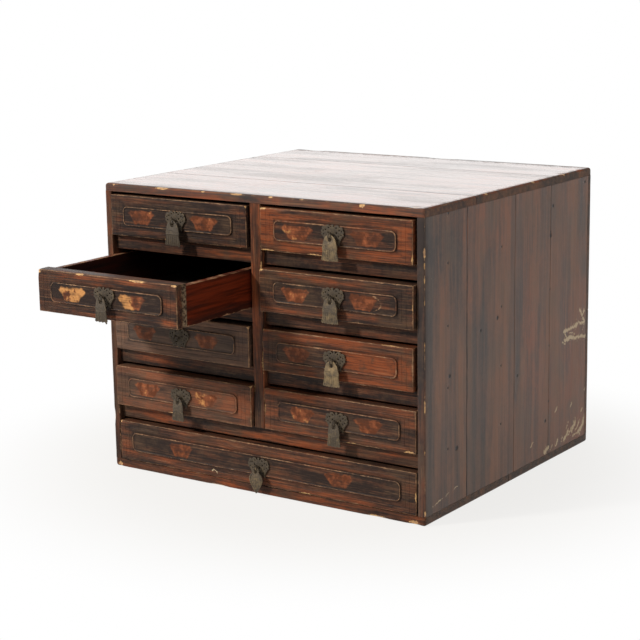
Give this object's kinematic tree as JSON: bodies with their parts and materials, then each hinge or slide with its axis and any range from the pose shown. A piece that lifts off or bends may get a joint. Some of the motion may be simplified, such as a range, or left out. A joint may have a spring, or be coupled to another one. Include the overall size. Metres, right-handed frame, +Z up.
{
  "type": "tabletop chest of drawers",
  "caption": "Low tabletop chest with columns of small drawers over a full-width drawer, each opened by a hanging metal pull.",
  "frame": {"origin": "middle of the case's underside, halfway between the case's front and back edges", "axes": "+X to the viewer's right, +Y from the drawer fronts to the back board, +Z up"},
  "size_m": [0.42, 0.512, 0.331],
  "materials": {
    "lacquered_wood": "worn dark brown lacquer over red-brown wood, satin",
    "drawer_wood": "red-brown stain under thin worn lacquer",
    "inner_wood": "plain dark stained softwood, dry",
    "aged_brass": "dull brown patina with worn edges",
    "iron": "dark rusted iron"
  },
  "bodies": {
    "case": {"top_board": "lacquered_wood", "bottom_board": "lacquered_wood", "left_side_board": "lacquered_wood", "right_side_board": "lacquered_wood", "back_board": "lacquered_wood", "centre_divider": "lacquered_wood", "left_rails": "lacquered_wood", "left_dust_boards": "inner_wood", "right_rails": "lacquered_wood", "right_dust_boards": "inner_wood", "wide_rail": "lacquered_wood", "wide_dust_board": "inner_wood", "case_nails": "iron"},
    "left_drawer_1": {"left_drawer_1_front": "lacquered_wood", "left_drawer_1_bottom": "inner_wood", "left_drawer_1_pull_mount": "aged_brass", "left_drawer_1_walls": "drawer_wood"},
    "left_pull_1": {"left_drawer_1_pendant": "aged_brass"},
    "left_drawer_2": {"left_drawer_2_front": "lacquered_wood", "left_drawer_2_bottom": "inner_wood", "left_drawer_2_pull_mount": "aged_brass", "left_drawer_2_left_side": "drawer_wood", "left_drawer_2_right_side": "drawer_wood", "left_drawer_2_back": "drawer_wood"},
    "left_pull_2": {"left_drawer_2_pendant": "aged_brass"},
    "left_drawer_3": {"left_drawer_3_front": "lacquered_wood", "left_drawer_3_bottom": "inner_wood", "left_drawer_3_pull_mount": "aged_brass", "left_drawer_3_walls": "drawer_wood"},
    "left_drawer_4": {"left_drawer_4_front": "lacquered_wood", "left_drawer_4_bottom": "inner_wood", "left_drawer_4_pull_mount": "aged_brass", "left_drawer_4_walls": "drawer_wood"},
    "left_pull_4": {"left_drawer_4_pendant": "aged_brass"},
    "right_drawer_1": {"right_drawer_1_front": "lacquered_wood", "right_drawer_1_bottom": "inner_wood", "right_drawer_1_pull_mount": "aged_brass", "right_drawer_1_walls": "drawer_wood"},
    "right_pull_1": {"right_drawer_1_pendant": "aged_brass"},
    "right_drawer_2": {"right_drawer_2_front": "lacquered_wood", "right_drawer_2_bottom": "inner_wood", "right_drawer_2_pull_mount": "aged_brass", "right_drawer_2_walls": "drawer_wood"},
    "right_pull_2": {"right_drawer_2_pendant": "aged_brass"},
    "right_drawer_3": {"right_drawer_3_front": "lacquered_wood", "right_drawer_3_bottom": "inner_wood", "right_drawer_3_pull_mount": "aged_brass", "right_drawer_3_walls": "drawer_wood"},
    "right_pull_3": {"right_drawer_3_pendant": "aged_brass"},
    "right_drawer_4": {"right_drawer_4_front": "lacquered_wood", "right_drawer_4_bottom": "inner_wood", "right_drawer_4_pull_mount": "aged_brass", "right_drawer_4_walls": "drawer_wood"},
    "right_pull_4": {"right_drawer_4_pendant": "aged_brass"},
    "wide_drawer": {"wide_drawer_front": "lacquered_wood", "wide_drawer_bottom": "inner_wood", "wide_drawer_pull_mount": "aged_brass", "wide_drawer_walls": "drawer_wood"},
    "wide_pull": {"wide_drawer_pendant": "aged_brass"}
  },
  "joints": [
    {"name": "left_drawer_1_slide", "type": "slide", "parent": "case", "child": "left_drawer_1", "axis": [0, -1, 0], "range_m": [-0.0014, 0.268]},
    {"name": "left_pull_1_swing", "type": "hinge", "parent": "left_drawer_1", "child": "left_pull_1", "pos_m": [-0.10518, -0.198, 0.2958], "axis": [-1, 0, 0], "range_deg": [-12, 100]},
    {"name": "left_drawer_2_slide", "type": "slide", "parent": "case", "child": "left_drawer_2", "axis": [0, -1, 0], "range_m": [-0.1234, 0.146]},
    {"name": "left_pull_2_swing", "type": "hinge", "parent": "left_drawer_2", "child": "left_pull_2", "pos_m": [-0.10437, -0.32, 0.2317], "axis": [-1, 0, 0], "range_deg": [-12, 100]},
    {"name": "left_drawer_3_slide", "type": "slide", "parent": "case", "child": "left_drawer_3", "axis": [0, -1, 0], "range_m": [-0.0014, 0.268]},
    {"name": "left_drawer_4_slide", "type": "slide", "parent": "case", "child": "left_drawer_4", "axis": [0, -1, 0], "range_m": [-0.0034, 0.266]},
    {"name": "left_pull_4_swing", "type": "hinge", "parent": "left_drawer_4", "child": "left_pull_4", "pos_m": [-0.10397, -0.2, 0.0965], "axis": [-1, 0, 0], "range_deg": [-12, 100]},
    {"name": "right_drawer_1_slide", "type": "slide", "parent": "case", "child": "right_drawer_1", "axis": [0, -1, 0], "range_m": [-0.0017, 0.2677]},
    {"name": "right_pull_1_swing", "type": "hinge", "parent": "right_drawer_1", "child": "right_pull_1", "pos_m": [0.10247, -0.1983, 0.2968], "axis": [-1, 0, 0], "range_deg": [-12, 100]},
    {"name": "right_drawer_2_slide", "type": "slide", "parent": "case", "child": "right_drawer_2", "axis": [0, -1, 0], "range_m": [-0.0049, 0.2645]},
    {"name": "right_pull_2_swing", "type": "hinge", "parent": "right_drawer_2", "child": "right_pull_2", "pos_m": [0.10362, -0.2015, 0.2317], "axis": [-1, 0, 0], "range_deg": [-12, 100]},
    {"name": "right_drawer_3_slide", "type": "slide", "parent": "case", "child": "right_drawer_3", "axis": [0, -1, 0], "range_m": [-0.0017, 0.2677]},
    {"name": "right_pull_3_swing", "type": "hinge", "parent": "right_drawer_3", "child": "right_pull_3", "pos_m": [0.10247, -0.1983, 0.1638], "axis": [-1, 0, 0], "range_deg": [-12, 100]},
    {"name": "right_drawer_4_slide", "type": "slide", "parent": "case", "child": "right_drawer_4", "axis": [0, -1, 0], "range_m": [-0.0007, 0.2687]},
    {"name": "right_pull_4_swing", "type": "hinge", "parent": "right_drawer_4", "child": "right_pull_4", "pos_m": [0.10368, -0.1973, 0.0975], "axis": [-1, 0, 0], "range_deg": [-12, 100]},
    {"name": "wide_drawer_slide", "type": "slide", "parent": "case", "child": "wide_drawer", "axis": [0, -1, 0], "range_m": [0, 0.2694]},
    {"name": "wide_pull_swing", "type": "hinge", "parent": "wide_drawer", "child": "wide_pull", "pos_m": [-0.00025, -0.1966, 0.0318], "axis": [-1, 0, 0], "range_deg": [-12, 100]}
  ]
}
